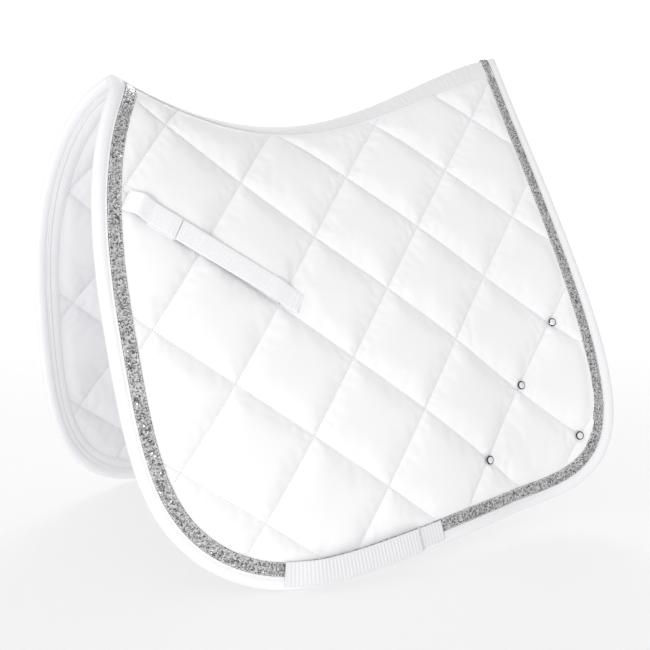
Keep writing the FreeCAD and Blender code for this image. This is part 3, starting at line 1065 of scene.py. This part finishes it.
def make_webbing():
    # the girth loop wears the darker webbing copy, which is painted shade
    both_sides(solid("girth", girth_parts(), LOOP_WEBBING_PAINTED_SHADE), "girth_webbing", "flap", ("girth_loop",))
    strap = strap_piece("strap", STRAP_TIP, STRAP_LENGTH, strap_lift, STRAP_BAND, WEBBING)
    both_sides(strap, "billet_webbing", "billet_strap", ("billet_strap_webbing",))
    tab = strap_piece("tab", 0.0, TAB_LENGTH, tab_lift, STRAP_BAND, WEBBING)
    both_sides(tab, "tab_webbing", "strap_tab", ("strap_tab_webbing",))
    loops = strap_piece("loops", STRAP_TIP + 4, TAB_LENGTH, lambda place: PATCH_LIFT, PATCH_BAND, HOOKS)
    both_sides(loops, "loop_tape", "billet_strap", ("loop_patch",))
    hooks = strap_piece("hooks", STRAP_TIP + 6, TAB_LENGTH - 2, lambda place: HOOK_LIFT, PATCH_BAND,
                        HOOKS)
    both_sides(hooks, "hook_tape", "strap_tab", ("hook_patch",))
    tab_bars = [strap_bar(TAB_LENGTH - before, TAB_REST + THREAD_LIFT) for before in (3, 9)]
    tab_thread = stitches("tab_thread", tab_bars, WEBBING_STITCH, SEWING_THREAD)
    both_sides(tab_thread, "tab_stitches", "strap_tab", ())
    strap_bars = [strap_bar(STRAP_LENGTH - before, SEWN_LIFT + THREAD_LIFT) for before in (3, 8)]
    strap_thread = stitches("strap_thread", strap_bars, WEBBING_STITCH, SEWING_THREAD)
    both_sides(strap_thread, "strap_stitches", "billet_strap", ())


def make_crystals():
    """Stones, the cups they sit in, and the washers that hold the cups from inside."""
    x, z = np.array(CRYSTALS).T
    drop = spine_height(x) - z
    frames = list(zip(surface(x, drop), outward(x, drop)))
    stones = [triangles(turned(point, normal, STONE, 10)) for point, normal in frames]
    cups = [turned(point, normal, CUP, 32) for point, normal in frames]
    washers = [turned(point - normal * PAD_THICKNESS, normal, WASHER, 24) for point, normal in frames]
    stones = solid("stones", stones, CRYSTAL, smooth=False)
    # cups coloured with the painted dark reflection
    cups = solid("cups", cups, CUP_METAL_PAINTED_DARK)
    washers = solid("washers", washers, WASHER_METAL)
    both_sides(stones, "crystal_stones", "flap", ("crystals",))
    both_sides(cups, "crystal_cups", "flap", ("crystal_settings",))
    both_sides(washers, "crystal_washers", "flap", ("crystal_backs",))


# ---- floor, light and camera
FLOOR_Z = -0.480
MIDDLE = (0.06, 0.0, -0.2)
SKY = 0.67
SKY_LEAN = (-0.38, -0.25, 0.14)  # the sky is brighter this way, by this share
AZIMUTH = math.radians(-31.52)
ELEVATION = math.radians(6.9)
CAMERA_DISTANCE = 1.1247
CAMERA_TARGET = (0.06, 0.0, -0.21)
CAMERA_SHIFT = (0.0276, -0.0423)
LENS = 49.16
LIGHTS = (  # name, place, size, power, what it is turned to, spread in degrees
    ("key", (-1.38, -1.35, -0.18), 0.38, 10.0, MIDDLE, 180.0),
    ("back", (1.5, 1.9, 1.3), 1.6, 16.0, MIDDLE, 180.0),
    ("wall", (1.1, 1.6, 2.6), 1.6, 45.0, (2.2, 3.4, 0.5), 110.0),
)
FLOOR_TURN = math.radians(31.5)  # the backdrop faces the camera
FLOOR_NEAR = -4000.0
FLOOR_FAR = 2600.0  # the floor starts to curve up here
FLOOR_SIDE = 6000.0
BACKDROP_BEND = 900.0
BACKDROP_HEIGHT = 3500.0
BEND_STEPS = 12


def make_floor():
    """Pale floor that curves up into a backdrop."""
    look = Look("floor")
    look.drive(Base_Color=look.between(look.noise(3.0, 2.0), (0.41, 0.41, 0.41), (0.43, 0.43, 0.43)))
    look.finish(Roughness=0.9, Emission_Color=(1.0, 1.0, 1.0, 1.0), Emission_Strength=0.52)
    profile = [(FLOOR_NEAR, 0.0), (FLOOR_FAR, 0.0)]
    for step in range(1, BEND_STEPS + 1):
        angle = math.radians(90.0 * step / BEND_STEPS)
        profile.append((FLOOR_FAR + BACKDROP_BEND * math.sin(angle),
                        BACKDROP_BEND * (1 - math.cos(angle))))
    profile.append((FLOOR_FAR + BACKDROP_BEND, BACKDROP_HEIGHT))
    sine, cosine = math.sin(FLOOR_TURN), math.cos(FLOOR_TURN)
    points, faces = [], []
    for away, up in profile:
        for aside in (-FLOOR_SIDE, FLOOR_SIDE):
            points.append((away * sine + aside * cosine, away * cosine - aside * sine,
                           up + FLOOR_Z / MM))
    for k in range(len(profile) - 1):
        faces.append((2 * k, 2 * k + 1, 2 * k + 3, 2 * k + 2))
    make_object("floor", points, faces, look.material)


def area_light(name, where, size, energy, target, spread):
    data = bpy.data.lights.new(name, 'AREA')
    data.shape = 'SQUARE'
    data.size = size
    data.energy = energy
    data.spread = math.radians(spread)
    light = bpy.data.objects.new(name, data)
    light.location = where
    light.rotation_euler = (Vector(target) - Vector(where)).to_track_quat('-Z', 'Y').to_euler()
    bpy.context.scene.collection.objects.link(light)


def make_light():
    """Even studio light, stronger from the left and the front."""
    world = bpy.data.worlds.new("studio")
    world.use_nodes = True
    nodes, links = world.node_tree.nodes, world.node_tree.links
    where = nodes.new("ShaderNodeTexCoord")
    lean = nodes.new("ShaderNodeVectorMath")
    lean.operation = "DOT_PRODUCT"
    lean.inputs[1].default_value = SKY_LEAN
    links.new(where.outputs["Generated"], lean.inputs[0])
    strength = nodes.new("ShaderNodeMath")
    strength.operation = "MULTIPLY_ADD"
    strength.inputs[1].default_value = SKY
    strength.inputs[2].default_value = SKY
    links.new(lean.outputs["Value"], strength.inputs[0])
    background = nodes["Background"]
    background.inputs["Color"].default_value = (1.0, 1.0, 1.0, 1)
    links.new(strength.outputs[0], background.inputs["Strength"])
    bpy.context.scene.world = world
    for light in LIGHTS:
        area_light(*light)


def make_camera():
    data = bpy.data.cameras.new("camera")
    data.sensor_width = 36.0
    data.lens = LENS
    data.shift_x, data.shift_y = CAMERA_SHIFT
    camera = bpy.data.objects.new("camera", data)
    back = Vector((math.sin(AZIMUTH) * math.cos(ELEVATION), -math.cos(AZIMUTH) * math.cos(ELEVATION),
                   math.sin(ELEVATION)))
    camera.location = Vector(CAMERA_TARGET) + back * CAMERA_DISTANCE
    camera.rotation_euler = (-back).to_track_quat('-Z', 'Y').to_euler()
    bpy.context.scene.collection.objects.link(camera)
    bpy.context.scene.camera = camera


make_pad()
make_tapes()
make_webbing()
make_crystals()
make_floor()
make_light()
make_camera()
bpy.context.scene.view_settings.view_transform = 'Standard'
